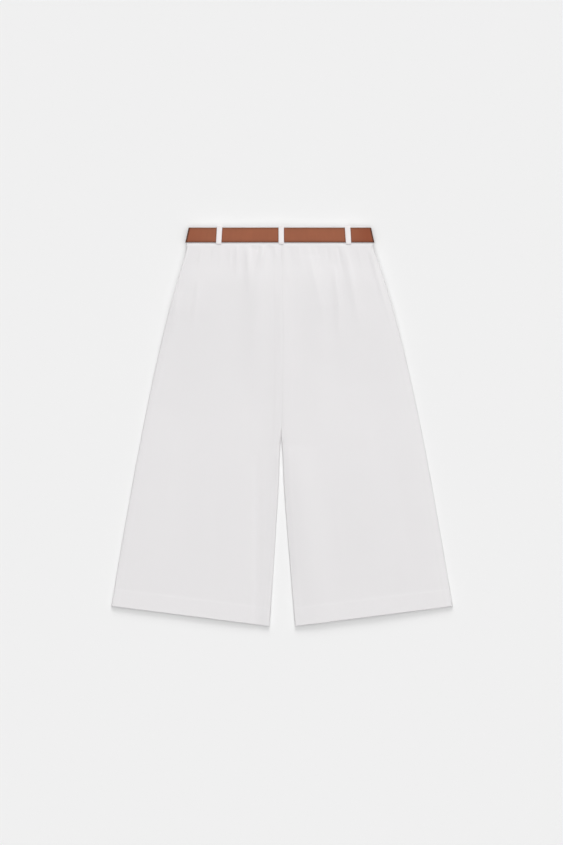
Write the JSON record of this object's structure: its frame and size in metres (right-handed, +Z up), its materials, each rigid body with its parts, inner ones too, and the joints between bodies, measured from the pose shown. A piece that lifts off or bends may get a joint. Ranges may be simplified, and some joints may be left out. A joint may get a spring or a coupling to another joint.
{
  "type": "bermuda shorts",
  "caption": "Bermuda shorts laid flat, back side up, with flared legs, turned-up hems, gathers under the waist and a narrow leather belt through the loops.",
  "frame": {"origin": "on the table, under the middle of the shorts' length and width", "axes": "+X across the shorts towards the wearer's right side, +Y up towards the waist, +Z up from the table, out of the back of the shorts"},
  "size_m": [0.6086, 0.7128, 0.0161],
  "materials": {
    "cloth": "matte off-white crepe weave",
    "waistband": "matte off-white crepe weave, double",
    "belt": "smooth tan, slight sheen",
    "buckle": "satin"
  },
  "bodies": {
    "root": {"back_panel_left": "cloth", "back_panel_right": "cloth", "front_panel_left": "cloth", "front_panel_right": "cloth", "fly_flap": "cloth", "waistband_back": "waistband", "waistband_front_left": "waistband", "waistband_front_right": "waistband", "loop_back_left": "waistband", "loop_back_centre": "waistband", "loop_back_right": "waistband", "loop_front_left": "waistband", "loop_front_right": "waistband", "belt_strap": "belt", "buckle_frame": "buckle", "buckle_prong": "buckle"}
  },
  "joints": []
}
